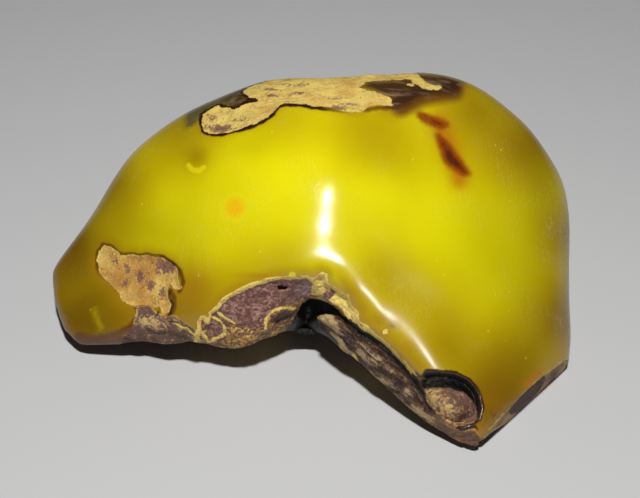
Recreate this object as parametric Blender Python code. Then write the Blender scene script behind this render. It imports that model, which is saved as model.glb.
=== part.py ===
"""Raw piece of butterscotch amber: a bent, tumbled lump resting on its worn underside.

The lump is one body. Its skin is a net of points, spread evenly over the directions round a heart
point, and each point is carried out to a radius that runs smoothly through landmarks measured on
the lump. The landmarks of the near side are given as an eye in front sees them: across, up and
toward the eye. Those of the far side are plain X, Y and Z. The broken face, the cleft, the pit and
the beds of the rind are then pressed in along the sight lines, the far side gets its dents, and
the worn seat is cut flat.
"""
import math

import bmesh
import bpy
import numpy as np
from mathutils import Vector

LENGTH = 0.079
NET = 28
NET_STRETCH = Vector((1.5, 1.0, 0.9))
NET_LEAN = Vector((0.15, -0.45, -0.2))
SEAT_MERGE = 0.00005

EYE_RAISE = math.radians(40.0)
EYE_DISTANCE = 205.0
EYE_TARGET = np.array([0.0, 0.0, 17.0])
HEART = np.array([4.0, 2.0, 17.0])
EASE = 0.002

AMBER_COLOUR = (0.62, 0.50, 0.01, 1.0)
AMBER_ROUGHNESS = 0.2

# Across, up and toward the eye, in millimetres
CROWN = (
    (0.3, -1.9, 8.5), (1.0, 4.9, 8.4), (2.0, 11.4, 7.7), (-1.2, 16.4, 5.9), (-1.4, 20.0, 3.4),
)
LEFT_FLANK = (
    (-7.2, 3.5, 7.2), (-11.5, 11.4, 5.0), (-17.3, 4.9, 3.0), (-12.3, 17.9, 1.2), (-23.1, 9.9, -2.6),
    (-18.0, -3.0, 3.6), (-25.2, 2.7, -2.2), (-32.4, -5.9, -6.0), (-28.1, -10.2, -1.5),
    (-28.8, -1.6, -4.2), (-22.4, -8.1, 1.0),
)
RIGHT_LOBE = (
    (10.1, 2.7, 7.8), (11.5, 12.1, 5.6), (19.5, 3.5, 5.6), (21.6, 14.3, 0.8), (11.5, 19.8, 2.2),
    (28.8, 7.1, -0.2), (19.5, -5.9, 8.4), (31.0, -3.0, 0.8), (26.7, -11.7, 6.4), (20.2, -14.6, 9.2),
    (5.5, -5.8, 8.7), (11.5, -10.5, 9.6), (16.4, -17.2, 10.5), (22.8, -25.8, 9.8), (26.0, -21.8, 8.6),
    (32.4, -14.6, 2.6),
)
BROKEN_RIM = (
    (-15.6, -9.5, 4.4), (-10.1, -5.0, 6.6), (-2.9, -4.0, 7.6), (0.3, -4.3, 7.6), (3.9, -7.4, 7.4),
    (9.1, -13.4, 8.4), (13.8, -18.5, 9.4), (-10.1, -9.5, 5.0), (-4.3, -7.4, 4.2),
)
UPPER_OUTLINE = (
    (-38.8, -3.3, -12.0), (-34.3, 3.0, -13.0), (-30.3, 8.9, -14.0), (-27.4, 13.4, -13.5),
    (-19.4, 19.3, -12.0), (-11.7, 22.6, -10.5), (-6.8, 24.3, -9.5), (1.4, 24.5, -9.0),
    (11.5, 25.1, -9.0), (18.7, 24.4, -10.0), (23.1, 22.8, -11.0), (30.3, 16.9, -12.0),
    (34.6, 9.9, -12.5), (35.8, 2.7, -12.0), (35.9, -5.9, -9.0), (36.3, -13.8, -5.5),
)
LOWER_OUTLINE = (
    (-37.9, -7.4, -10.0), (-36.0, -12.0, -7.0), (-34.3, -13.6, -5.5), (-30.0, -13.4, -3.5),
    (-25.5, -13.3, -2.0), (-21.6, -12.8, -0.5), (-15.0, -14.1, 1.0), (-10.8, -14.0, 1.6),
    (-5.0, -11.0, 0.8), (-2.2, -8.4, 1.2), (0.0, -11.1, 2.4), (4.2, -15.3, 4.0), (9.7, -20.3, 6.0),
    (15.3, -24.4, 8.0), (22.4, -28.4, 9.0), (28.3, -24.1, 5.6), (33.6, -19.8, 0.5),
)

# X, Y and Z in millimetres
FAR_SIDE = (
    (0, 27, 22), (16, 27, 22), (-14, 25, 18), (28, 20, 15), (-26, 19, 11), (0, 29, 11), (18, 28, 10),
    (-16, 25, 6), (31, 13, 6), (-33, 10, 4), (5, 22, 2), (20, 19, 1),
)
UNDERSIDE = (
    (0, 8, -1), (16, 4, -1), (-14, 8, -0.5), (20, -10, -1), (10, -3, -0.5), (-26, 3, 2), (-31, -3, 3),
    (28, 2, -0.5), (-12, -2, 3), (2, -6, 4), (21, -20, 0.5), (13, -11, 2),
)

# Outlines and paths as the eye sees them: across and up, in millimetres
BROKEN_FACE = (
    (-16.6, -10.5), (-15.6, -9.2), (-13.7, -7.6), (-11.5, -6.3), (-8.9, -5.3), (-5.8, -4.4),
    (-2.9, -4.2), (-1.2, -4.5), (-0.3, -5.5), (-1.3, -7.1), (-3.5, -8.2), (-4.0, -9.9),
    (-5.5, -11.7), (-8.4, -13.4), (-11.5, -14.6), (-15.9, -14.6), (-17.3, -13.1),
)
BROKEN_FACE_DEPTH = 1.1
CLEFT = (
    (2.2, -8.9), (3.7, -10.5), (5.6, -12.1), (7.9, -13.7), (9.9, -15.4), (12.1, -17.6),
    (13.6, -19.3), (15.1, -21.8),
)
CLEFT_WIDTH = 1.5
CLEFT_DEPTH = 2.2
CLEFT_MOUTH = (
    (-2.9, -8.8), (-1.4, -7.5), (0.3, -7.4), (1.6, -8.1), (2.8, -9.0), (3.4, -10.4), (1.2, -9.7),
    (-0.6, -9.7), (-1.7, -10.4),
)
MOUTH_DEPTH = 3.5
PIT = (
    (14.7, -19.0), (15.9, -18.0), (17.3, -17.9), (19.8, -18.2), (21.5, -19.0), (22.5, -20.0),
    (23.1, -21.4), (23.5, -23.1), (23.1, -24.7), (21.3, -25.7), (19.5, -25.9), (18.0, -25.1),
    (16.9, -23.8), (15.3, -22.4), (14.9, -20.5),
)
PIT_DEPTH = 3.4
PIT_SHALLOW_END = (16.0, -24.0)
PIT_REACH = 7.0
CREASE = ((23.1, -28.0), (26.0, -24.7), (28.1, -22.4), (31.4, -18.7), (33.0, -17.3), (36.0, -15.3))
CREASE_SLOPE = 0.8
CREASE_WIDTH = 2.5
LEFT_RIND = (
    (-31.4, 0.4), (-32.4, -1.2), (-32.2, -3.0), (-29.6, -6.2), (-26.8, -8.4), (-22.8, -10.1),
    (-21.6, -8.1), (-20.5, -5.9), (-20.6, -3.2), (-22.8, -1.6), (-25.7, -1.0), (-28.7, -1.2),
)
TOP_RIND = (
    (-17.3, 18.5), (-17.2, 19.5), (-15.0, 20.8), (-10.1, 21.2), (-8.9, 24.1), (-3.3, 25.4),
    (14.0, 25.8), (18.2, 23.8), (10.4, 22.6), (11.0, 20.6), (4.8, 19.8), (-5.8, 20.9),
    (-10.7, 17.7), (-15.0, 16.7),
)
RIND_DEPTH = 0.6
EDGE_RUN = 1.8

# Middle X, Y and Z, reach and depth of each dent of the far side, in millimetres
DENTS = (
    (-6, 29, 14, 7.0, 1.6), (12, 29, 17, 6.0, 1.2), (26, 24, 9, 6.0, 1.8), (-24, 22, 7, 6.0, 1.5),
    (3, 27, 6, 5.0, 1.4), (37, 8, 9, 5.0, 1.2), (-20, -3, 3, 5.0, 1.2), (12, -13, 4, 5.0, 1.5),
)


def clear_scene():
    """Remove whatever the file holds."""
    for item in list(bpy.data.objects):
        bpy.data.objects.remove(item)


def eye_frame():
    """Return the eye's place and the directions across, up and toward the eye."""
    across = np.array([1.0, 0.0, 0.0])
    up = np.array([0.0, math.sin(EYE_RAISE), math.cos(EYE_RAISE)])
    toward = np.array([0.0, -math.cos(EYE_RAISE), math.sin(EYE_RAISE)])
    return EYE_TARGET + toward * EYE_DISTANCE, across, up, toward


def seen_point(seen):
    """Place a landmark given across, up and toward the eye: a point on its own sight line."""
    eye, across, up, _ = eye_frame()
    on_screen = EYE_TARGET + across * seen[0] + up * seen[1]
    return eye + (on_screen - eye) * (1.0 - seen[2] / EYE_DISTANCE)


def seen_plane(points):
    """Return where the eye sees points: across and up on the plane through its target."""
    eye, across, up, toward = eye_frame()
    ray = points - eye
    reach = EYE_DISTANCE / -(ray @ toward)
    return np.stack([(ray @ across) * reach, (ray @ up) * reach], axis=1)


def spline(span):
    """Thin-plate kernel."""
    safe = np.maximum(span, 1e-9)
    return safe * safe * np.log(safe)


def fitted_radius(directions):
    """Radius from the heart in each direction: a thin-plate surface through the landmarks."""
    seen = CROWN + LEFT_FLANK + RIGHT_LOBE + BROKEN_RIM + UPPER_OUTLINE + LOWER_OUTLINE
    marks = np.array([seen_point(item) for item in seen] + list(FAR_SIDE + UNDERSIDE), float) - HEART
    radii = np.linalg.norm(marks, axis=1)
    marks /= radii[:, None]
    count = len(marks)
    flat = np.concatenate([np.ones((count, 1)), marks], axis=1)
    bend = spline(np.linalg.norm(marks[:, None] - marks[None], axis=-1)) + EASE * np.eye(count)
    system = np.block([[bend, flat], [flat.T, np.zeros((4, 4))]])
    weights = np.linalg.solve(system, np.concatenate([radii, np.zeros(4)]))
    spans = np.linalg.norm(directions[:, None] - marks[None], axis=-1)
    return spline(spans) @ weights[:count] + weights[count] + directions @ weights[count + 1:]


def smooth_step(value):
    """Rise from 0 to 1 while value does."""
    ramp = np.clip(value, 0.0, 1.0)
    return ramp * ramp * (3.0 - 2.0 * ramp)


def distance_to_path(places, path):
    """Distance of each place to an open path."""
    nearest = np.full(len(places), np.inf)
    for start, end in zip(path[:-1], path[1:]):
        run = np.subtract(end, start)
        part = np.clip((places - start) @ run / (run @ run), 0.0, 1.0)
        nearest = np.minimum(nearest, np.linalg.norm(places - start - part[:, None] * run, axis=1))
    return nearest


def depth_inside(places, outline):
    """Distance to a closed outline, above zero inside it and below zero outside."""
    closed = outline + outline[:1]
    inside = np.zeros(len(places), bool)
    for (x0, y0), (x1, y1) in zip(closed[:-1], closed[1:]):
        if y0 == y1:
            continue
        crosses = (places[:, 1] > min(y0, y1)) & (places[:, 1] <= max(y0, y1))
        inside ^= crosses & (places[:, 0] < x0 + (places[:, 1] - y0) * (x1 - x0) / (y1 - y0))
    return np.where(inside, 1.0, -1.0) * distance_to_path(places, closed)


def beyond_crease(places):
    """Distance past the crease of the right lobe, on its lower right side."""
    past = np.zeros(len(places))
    for start, end in zip(CREASE[:-1], CREASE[1:]):
        run = np.subtract(end, start)
        away = np.array([run[1], -run[0]]) / np.linalg.norm(run)
        part = (places - start) @ run / (run @ run)
        here = (part >= 0.0) & (part <= 1.0)
        past = np.where(here, np.maximum(past, (places - start) @ away), past)
    return past


def press_depth(places):
    """How far the near side is pressed in along the sight lines."""
    face = smooth_step(depth_inside(places, BROKEN_FACE) / EDGE_RUN) * BROKEN_FACE_DEPTH
    cleft = np.exp(-(distance_to_path(places, CLEFT) / CLEFT_WIDTH) ** 2) * CLEFT_DEPTH
    mouth = smooth_step(depth_inside(places, CLEFT_MOUTH) / EDGE_RUN + 0.5) * MOUTH_DEPTH
    reach = np.linalg.norm(places - PIT_SHALLOW_END, axis=1) / PIT_REACH
    pit = smooth_step(depth_inside(places, PIT) / EDGE_RUN) * PIT_DEPTH * np.clip(reach, 0.15, 1.0)
    side = np.minimum(beyond_crease(places), CREASE_WIDTH) * CREASE_SLOPE
    left = smooth_step(depth_inside(places, LEFT_RIND) / EDGE_RUN) * RIND_DEPTH
    top = smooth_step(depth_inside(places, TOP_RIND) / EDGE_RUN) * RIND_DEPTH
    return np.maximum.reduce([face, cleft, mouth, pit]) + side + left + top


def dent_depth(points):
    """How far the far side is dented toward the heart."""
    depth = np.zeros(len(points))
    for x, y, z, reach, deep in DENTS:
        depth += deep * np.exp(-(np.linalg.norm(points - (x, y, z), axis=1) / reach) ** 2)
    return depth


def sphere_net():
    """Return a cube's grid turned into directions round the heart, closest where NET_LEAN points."""
    net = bmesh.new()
    bmesh.ops.create_cube(net, size=2.0)
    bmesh.ops.subdivide_edges(net, edges=net.edges[:], cuts=NET - 1, use_grid_fill=True)
    for vert in net.verts:
        even = Vector([math.tan(part * math.pi / 4.0) for part in vert.co]).normalized()
        vert.co = (even * NET_STRETCH + NET_LEAN).normalized()
    return net


def place_points(net, points):
    """Move the net's points and refresh its normals."""
    for vert, place in zip(net.verts, points):
        vert.co = place
    net.normal_update()


def lump_mesh():
    """Return the lump: landmark surface, presses, dents and the flat seat, in metres."""
    net = sphere_net()
    directions = np.array([vert.co for vert in net.verts])
    points = HEART + directions * fitted_radius(directions)[:, None]
    points -= directions * dent_depth(points)[:, None]
    place_points(net, points)
    eye, _, _, toward = eye_frame()
    facing = np.array([vert.normal for vert in net.verts]) @ toward
    sight = points - eye
    sight /= np.linalg.norm(sight, axis=1)[:, None]
    depth = press_depth(seen_plane(points)) * smooth_step((facing - 0.05) / 0.35)
    points += sight * depth[:, None]
    span = points[:, 0].max() - points[:, 0].min()
    middle = (points.min(axis=0) + points.max(axis=0)) / 2.0
    points = (points - (middle[0], middle[1], 0.0)) * (LENGTH / span)
    place_points(net, points)
    cut_seat(net)
    return net


def cut_seat(net):
    """Cut the underside flat at the ground and close the cut with one face."""
    everything = net.verts[:] + net.edges[:] + net.faces[:]
    cut = bmesh.ops.bisect_plane(
        net, geom=everything, plane_co=(0.0, 0.0, 0.0), plane_no=(0.0, 0.0, -1.0), clear_outer=True)
    rim = [item for item in cut["geom_cut"] if isinstance(item, bmesh.types.BMEdge)]
    bmesh.ops.contextual_create(net, geom=rim)
    bmesh.ops.dissolve_degenerate(net, edges=net.edges[:], dist=SEAT_MERGE)
    bmesh.ops.recalc_face_normals(net, faces=net.faces[:])
    bmesh.ops.triangulate(net, faces=net.faces[:], quad_method="SHORT_EDGE")


def amber_material():
    """Material of the polished amber."""
    material = bpy.data.materials.new("butterscotch_amber")
    material.use_nodes = True
    shader = material.node_tree.nodes["Principled BSDF"]
    shader.inputs["Base Color"].default_value = AMBER_COLOUR
    shader.inputs["Roughness"].default_value = AMBER_ROUGHNESS
    shader.inputs["Metallic"].default_value = 0.0
    return material


def main():
    """Build the amber piece."""
    clear_scene()
    net = lump_mesh()
    mesh = bpy.data.meshes.new("amber_piece")
    net.to_mesh(mesh)
    net.free()
    mesh.shade_smooth()
    mesh.materials.append(amber_material())
    piece = bpy.data.objects.new("amber_piece", mesh)
    bpy.context.scene.collection.objects.link(piece)


main()
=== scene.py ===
"""Looks of the raw amber piece: a polished lump of opaque amber with patches of weathered rind.

The lump is drawn once more as a fine surface. Its shape is a radius over the directions round a
heart point, carried smoothly through the landmarks of the lump, with the broken face, the cleft,
the pit and the beds of the rind pressed in. Signed distances to the rind's borders and soft fields
for the amber's colours are kept on its points, and the material paints from them. Some of these
fields are painted shade, in the gaps and toward the edges, painted light over the crown, and a
painted glint on the pit's rim.
"""
import itertools
import math
from types import SimpleNamespace

import bpy
import numpy as np
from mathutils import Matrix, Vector


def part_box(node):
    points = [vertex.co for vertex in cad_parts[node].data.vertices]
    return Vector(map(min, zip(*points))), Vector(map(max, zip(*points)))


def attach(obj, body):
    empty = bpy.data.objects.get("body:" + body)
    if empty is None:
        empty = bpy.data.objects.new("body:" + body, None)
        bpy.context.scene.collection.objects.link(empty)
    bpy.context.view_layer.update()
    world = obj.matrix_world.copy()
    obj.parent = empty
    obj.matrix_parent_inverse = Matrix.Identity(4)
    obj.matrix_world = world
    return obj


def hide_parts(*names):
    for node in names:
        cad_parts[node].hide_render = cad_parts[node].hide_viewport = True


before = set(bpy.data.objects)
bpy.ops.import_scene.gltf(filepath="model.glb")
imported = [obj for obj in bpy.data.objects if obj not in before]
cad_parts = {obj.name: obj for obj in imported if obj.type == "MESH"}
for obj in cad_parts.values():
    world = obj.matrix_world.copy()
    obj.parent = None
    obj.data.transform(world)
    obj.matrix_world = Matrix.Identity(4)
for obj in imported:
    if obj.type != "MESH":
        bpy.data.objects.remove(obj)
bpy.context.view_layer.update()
LUMP_BOX = [np.array(corner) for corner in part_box("amber_piece")]

bl_info = {
    "name": "Raw amber piece",
    "version": (1, 0, 0),
    "blender": (4, 5, 0),
    "location": "3D View > Sidebar > Amber",
    "description": "Builds a polished lump of raw amber with its weathered rind, and its stage",
    "category": "Object",
}

# The eye that the landmarks were measured from, in millimetres
EYE_RAISE = math.radians(40.0)
EYE_DISTANCE = 205.0
EYE_TARGET = np.array([0.0, 0.0, 17.0])
HEART = np.array([4.0, 2.0, 17.0])
EASE = 0.001
PHOTO_WIDTH = 640.0
PHOTO_CENTRE = (320.0, 249.0)
MM_PER_PIXEL = 0.1442

# Net of directions: even on a cube, then stretched and leaned so that it is closest on the near side
NET_STRETCH = (1.5, 1.0, 0.9)
NET_LEAN = (0.15, -0.45, -0.2)

# Landmarks of the near side: across, up and toward the eye, in millimetres
CROWN = (
    (0.3, -1.9, 8.45), (1.0, 4.9, 8.55), (2.0, 11.4, 8.55), (-1.2, 16.4, 6.6), (-1.4, 20.0, 3.7),
)
LEFT_FLANK = (
    (-7.2, 3.5, 7.2), (-11.5, 11.4, 5.0), (-17.3, 4.9, 3.0), (-12.3, 17.9, 1.2), (-23.1, 9.9, -2.6),
    (-18.0, -3.0, 3.6), (-25.2, 2.7, -2.2), (-32.4, -5.9, -6.0), (-28.1, -10.2, -1.5),
    (-28.8, -1.6, -4.2), (-22.4, -8.1, 1.0),
)
RIGHT_LOBE = (
    (8.6, -9.0, 9.3), (10.5, -6.4, 8.8), (10.1, 2.7, 7.3), (11.5, 12.1, 5.6), (19.5, 3.5, 5.6),
    (21.6, 14.3, 0.8), (11.5, 19.8, 2.2), (28.8, 7.1, -0.2), (19.5, -5.9, 8.3), (31.0, -3.0, 0.8),
    (26.7, -11.7, 6.4), (20.2, -14.6, 9.2),
    (5.2, -6.2, 8.9), (11.1, -11.0, 9.5), (16.4, -17.2, 10.5), (22.8, -25.8, 9.8), (26.0, -21.8, 8.6),
    (32.4, -14.6, 2.6),
)
BROKEN_RIM = (
    (-15.6, -9.5, 4.4), (-10.1, -5.0, 6.6), (-2.9, -4.0, 7.6), (0.3, -4.3, 7.6), (3.9, -7.4, 7.7),
    (9.1, -13.4, 8.7), (13.8, -18.5, 9.4), (-10.1, -9.5, 5.0), (-4.3, -7.4, 4.2),
)
UPPER_OUTLINE = (
    (-39.0, -3.3, -12.0), (-34.3, 3.0, -13.0), (-30.3, 8.9, -14.0), (-27.4, 13.4, -13.5),
    (-19.4, 19.3, -12.0), (-11.7, 22.6, -10.5), (-6.8, 24.3, -9.5), (1.4, 24.5, -9.0),
    (11.5, 25.5, -9.0), (18.7, 24.9, -10.0), (23.1, 23.1, -11.0), (30.3, 16.9, -12.0),
    (34.6, 9.9, -12.5), (35.8, 2.7, -12.0), (35.9, -5.9, -9.0), (36.3, -13.8, -5.5),
)
LOWER_OUTLINE = (
    (-38.5, -7.2, -10.0), (-38.1, -9.6, -9.0), (-37.2, -12.0, -7.5), (-35.4, -14.3, -6.0),
    (-30.0, -13.4, -3.5), (-25.5, -13.3, -2.0), (-21.6, -12.8, -0.5), (-15.0, -14.1, 1.0),
    (-10.8, -14.0, 1.6),
    (-5.0, -11.0, 0.8), (-2.2, -8.4, 1.2), (0.0, -11.1, 2.4), (4.2, -15.3, 4.0), (9.7, -20.3, 6.0),
    (15.3, -24.4, 8.0), (22.4, -28.4, 9.0), (29.0, -24.9, 2.2), (31.6, -23.4, -0.2),
    (34.5, -20.5, -3.4),
)

# Landmarks of the far side: X, Y and Z in millimetres
FAR_SIDE = (
    (0, 27, 22), (16, 27, 22), (-14, 25, 18), (28, 20, 15), (-26, 19, 11), (0, 29, 11), (18, 28, 10),
    (-16, 25, 6), (31, 13, 6), (-33, 10, 4), (5, 22, 2), (20, 19, 1),
)
UNDERSIDE = (
    (0, 8, -1), (16, 4, -1), (-14, 8, -0.5), (20, -10, -1), (10, -3, -0.5), (-26, 3, 2), (-31, -3, 3),
    (28, 2, -0.5), (-12, -2, 3), (2, -6, 4), (21, -20, 0.5), (13, -11, 2),
)
# Middle X, Y and Z, reach and depth of each dent of the far side, in millimetres
DENTS = (
    (-6, 29, 14, 7.0, 1.6), (12, 29, 17, 6.0, 1.2), (26, 24, 9, 6.0, 1.8), (-24, 22, 7, 6.0, 1.5),
    (3, 27, 6, 5.0, 1.4), (36, 12, 9, 4.0, 0.7), (-20, -3, 3, 5.0, 1.2), (12, -13, 4, 5.0, 1.5),
)

# Outlines traced on the photograph, in its pixels
TOP_RIND_PX = (
    (200, 121), (201, 115), (206, 111), (217, 105), (223, 107), (235, 109), (243, 104), (249, 102),
    (258, 101), (256, 99), (248, 96.5), (242, 91), (244, 88), (257, 82.5), (263, 82), (272, 76),
    (276, 60), (345, 55), (413, 60), (420, 75), (427, 81), (435, 84), (446, 86), (440, 90), (431, 89),
    (424, 87.5), (419, 84), (412, 86), (406, 84), (416, 81.5), (412, 78.5), (378, 80), (364, 81),
    (365, 83), (358, 86.5), (364, 88.5), (374, 90.5), (382, 92), (386, 95.5), (393, 97.5), (392, 102),
    (395, 106), (381, 105), (373, 105), (366, 108), (362, 112), (352, 112.5), (330, 108), (305, 104.5),
    (293, 103), (282, 104), (277, 107), (271, 114), (266, 118), (257, 123.5), (244, 127.5),
    (228, 132), (211, 134), (202, 131),
)
TOP_DARK_PX = (
    (194, 124), (198, 117), (206, 109), (218, 104), (235, 108), (246, 103), (258, 101), (256, 99),
    (247, 96), (242, 91), (244, 87), (257, 81), (250, 70), (225, 76), (200, 92), (184, 112), (184, 128),
)
TOP_SCORCH_PX = (
    (357, 86.5), (366, 82), (364, 79), (412, 76), (420, 72), (446, 74), (466, 80), (462, 91),
    (450, 94), (436, 94), (420, 98), (412, 104), (398, 109), (388, 106), (384, 96), (372, 90),
)
LEFT_RIND_PX = (
    (101.6, 245), (96, 253), (95, 261), (97, 274), (102, 279), (108, 285), (115.5, 292.5),
    (119.5, 300.5), (125.5, 304.5), (132, 307), (144, 306), (152, 309), (157, 308), (155.5, 301),
    (159, 310), (161, 316), (164, 319), (167.5, 312), (169.5, 306), (166.5, 299.5), (165.5, 291.5),
    (168.5, 286), (171.5, 289.5), (178.5, 290.5), (180.5, 288), (176.5, 280), (176, 270), (169.5, 263),
    (160.5, 258), (152, 256.5), (145, 255), (139, 257), (131, 255.5), (120.5, 256), (114.5, 251.5),
    (108.5, 247),
)
LEFT_ROUGH_PX = (
    (134, 308), (146, 307), (160, 317), (172, 316), (186, 325), (200, 336), (212, 350), (150, 352),
    (118, 352), (118, 343), (124, 336), (131, 327),
)
FACE_RIND_PX = (
    (206, 323), (208, 313), (214, 308), (221, 299), (228, 295), (239, 289), (254, 282.5), (267, 279),
    (281, 277.5), (295, 277), (305, 276), (313, 278), (318, 275), (322, 273), (327, 274.5),
    (328, 284), (332, 286), (338, 290), (345, 295), (349, 296), (352, 306), (358, 311), (360, 322),
    (368, 326), (371, 331), (383, 340), (390, 346), (400, 357), (410, 367), (418, 377), (424, 386),
    (430, 402), (445, 424), (462, 432), (476, 430), (484, 440), (482, 470), (455, 468), (412, 448),
    (372, 420), (332, 388), (305, 360), (290, 368), (262, 376), (215, 376), (186, 360),
    (196, 336), (196, 322), (200, 316), (206, 317),
)
FACE_BARK_PX = (
    (214, 309), (219, 306), (226, 300), (235, 293), (247, 287), (261, 283), (278, 280.5), (290, 280.5),
    (300, 279), (308, 280.5), (312, 286), (311, 292), (305, 297), (297, 302), (284, 305.5),
    (272, 311), (266, 317), (264, 326), (254, 329), (243, 327), (233, 322), (224, 317),
)
FACE_CHIP_PX = ((204, 319), (212, 320), (220, 327), (224, 335), (215, 341), (207, 336), (204, 328))
FACE_HOLE_PX = ((277, 287), (281, 285.5), (287, 286.5), (288, 289), (284, 291), (278, 290.5))
SHINY_PIT_PX = (
    (268, 324), (271, 317), (279, 312.5), (289, 311.5), (297, 312), (291, 319), (285, 324), (276, 326),
)
APEX_BARK_PX = ((325, 290), (332, 285), (337, 290), (342, 298), (338, 303), (331, 303), (324, 297))
CLEFT_MOUTH_PX = (
    (299, 311), (303, 304), (310, 299), (322, 299.5), (332, 304.5), (339, 311), (345, 321),
    (337, 317), (326, 315), (316, 316), (309, 322), (303, 320),
)
SHADE_PX = (
    (297, 312), (303, 304), (310, 300), (320, 301), (326, 310), (316, 315), (318, 323), (324, 331),
    (336, 341), (345, 360), (320, 380), (285, 370), (283, 340), (290, 326),
)
CLEFT_PX = (
    (335, 311), (346, 322), (359, 333), (375, 344), (389, 356), (404, 371), (414, 383), (424, 397),
    (430, 410),
)
DARK_LENS_PX = ((338, 336), (345, 336), (353, 343), (357, 353), (350, 353), (343, 345))
PIT_PX = (
    (422, 380), (427, 373.5), (440, 373), (457, 375.5), (469, 381), (476, 388), (480.5, 397.5),
    (483, 409), (480.5, 420), (468, 427), (455, 428.5), (445, 423), (437, 414), (426, 404), (422, 391),
)
PIT_MOUND_PX = (
    (424, 391), (434, 389.5), (450, 389.5), (464, 394), (473, 403), (479, 414), (478, 421),
    (468, 426), (455, 427.5), (446, 423), (438, 414), (427, 405),
)
CREASE_BARK_PX = (
    (510, 412), (518, 402), (528, 391), (538, 380), (546, 375), (547, 381), (541, 392), (532, 402),
    (522, 412), (512, 416),
)
STAIN_STREAK_PX = (
    (421, 114.5), (427, 116), (434, 118.5), (441, 121.5), (447, 124.5), (443, 126), (436, 124),
    (430, 121.5), (425, 118.5),
)
STAIN_WEDGE_PX = (
    (438, 135), (443, 139), (450, 147), (455, 153), (461, 161), (467, 169), (470, 174), (466, 174),
    (459, 169.5), (451, 165.5), (446.5, 159), (444, 151), (441, 143),
)
HONEY_SPOT_PX = (234, 208)
LEMON_DOT_PX = (292, 276)
# Bright crumbly lines of the rind, one of them a painted glint on the pit's rim, dark crevices of the
# rind painted near black as their shade, bright patches, and pale lumps with their reach
BRIGHT_LINES_AND_GLINT_PX = (
    ((264, 328), (265, 321), (270, 313.5), (279, 309), (288, 308), (296, 309)),
    ((217, 313), (225, 319), (234, 324)), ((174, 325), (184, 329), (193, 335), (198, 342)),
    # The second run here is a painted glint on the pit's rim
    ((424, 380), (436, 381), (448, 379)), ((465, 385), (472, 392), (477, 400)),
    ((389, 347), (399, 357), (409, 368), (417, 376)), ((352, 357), (362, 369), (372, 378)),
    ((199, 317), (204, 316), (212, 318), (220, 322), (224, 328), (224, 335), (208, 344)),
    ((199, 318), (197, 325), (200, 333), (207, 343)),
    ((316, 278), (320, 286), (318, 292)), ((324, 277), (325, 285), (329, 291)),
)
CREVICE_SHADE_LINES_PX = (
    ((157, 303), (158, 310), (155, 317)), ((164, 321), (169, 314), (172, 305), (167, 298), (170, 290)),
    ((132, 309), (139, 313), (146, 318), (151, 326)), ((166, 322), (176, 324), (189, 333)),
    ((275, 324), (281, 319), (291, 316)), ((144, 329), (156, 334), (170, 333)),
    ((340, 331), (356, 343), (370, 356), (386, 368)),
    ((345, 345), (357, 356), (366, 368)),
)
BRIGHT_PATCHES_PX = (
    ((337, 292), (341, 295), (347, 294), (349, 301), (353, 305), (358, 311), (357, 316), (360, 324),
     (365, 327), (371, 329), (378, 335), (384, 341), (383, 345), (369, 335), (359, 326), (351, 320),
     (343, 317), (336, 307), (331, 300)),
    ((313, 280), (318, 275), (322, 273), (327, 275), (329, 284), (326, 292), (318, 296), (311, 293)),
    ((207, 312), (210, 305), (215, 300), (221, 298), (225, 301), (219, 306), (214, 310), (211, 314)),
)
PALE_SPOTS_PX = (
    (156, 327, 6), (151, 321, 3), (143, 323, 6), (178, 329, 3), (228, 310.5, 2), (248, 309, 2),
    (407, 392, 4), (322, 320, 3.5), (332, 324, 3), (444, 84, 3), (232, 333, 3), (252, 337, 3),
    (316, 284, 4),
)
RIDGES_PX = (306, 290)
CRESCENT_PX = ((187, 165), (191, 170), (198, 171), (203, 167))
GREEN_STREAK_PX = ((92, 311), (95, 321), (99, 330))
PALE_DOT_PX = (386, 333)
PURPLE_DOT_PX = (393, 327)
# Middle, half width and half height of the plum blotches in the rind, in pixels
PLUM_BLOTCHES_PX = (
    (164, 268, 13, 8), (126, 270, 4, 5), (115, 262, 3, 3), (138, 277, 4, 8), (125, 284, 3, 4),
    (149, 287, 4.5, 7), (160, 293, 3.5, 7), (169, 288, 2.5, 3.5), (217, 128, 17, 4.5),
    (333, 108.5, 14, 2.5),
)
FAINT_BLOTCHES_PX = (
    (266, 89, 12, 2), (270, 96, 12, 2), (211, 118, 5, 5), (298, 93, 14, 1.8), (335, 97, 16, 1.8),
    (290, 84, 20, 1.8), (350, 103, 12, 1.6), (236, 119, 10, 2.5),
)
PALE_CLOUDS_PX = ((313, 166), (289, 207), (262, 186))
# Reach in millimetres and path of each orange glow
EMBERS_PX = (
    (1.5, ((440, 122), (448, 140), (456, 162), (461, 180))),
    (0.4, ((527, 386), (534, 380), (541, 374))),
    (0.3, ((418, 384), (428, 381), (440, 382))),
)
STRIP_RUN = (0.82, -0.57)
# Dark red bands of the amber, each with its half width in millimetres
RUST_PATHS_PX = (
    (0.6, ((75, 337), (90, 340), (104, 338), (118, 334), (130, 328), (137, 318))),
    (0.5, ((168, 318), (172, 308), (172, 298), (168, 292))),
    (0.35, ((178, 292), (182, 283), (179, 272), (172, 264), (160, 258))),
    (0.35, ((365, 110), (380, 107), (395, 108), (403, 111))),
    (0.12, ((492, 415), (495, 418), (498, 415))),
    (1.5, ((402, 107), (412, 102), (424, 97), (440, 93), (455, 91))),
    (0.7, ((75, 342), (90, 345), (108, 344), (122, 341))),
)
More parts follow.
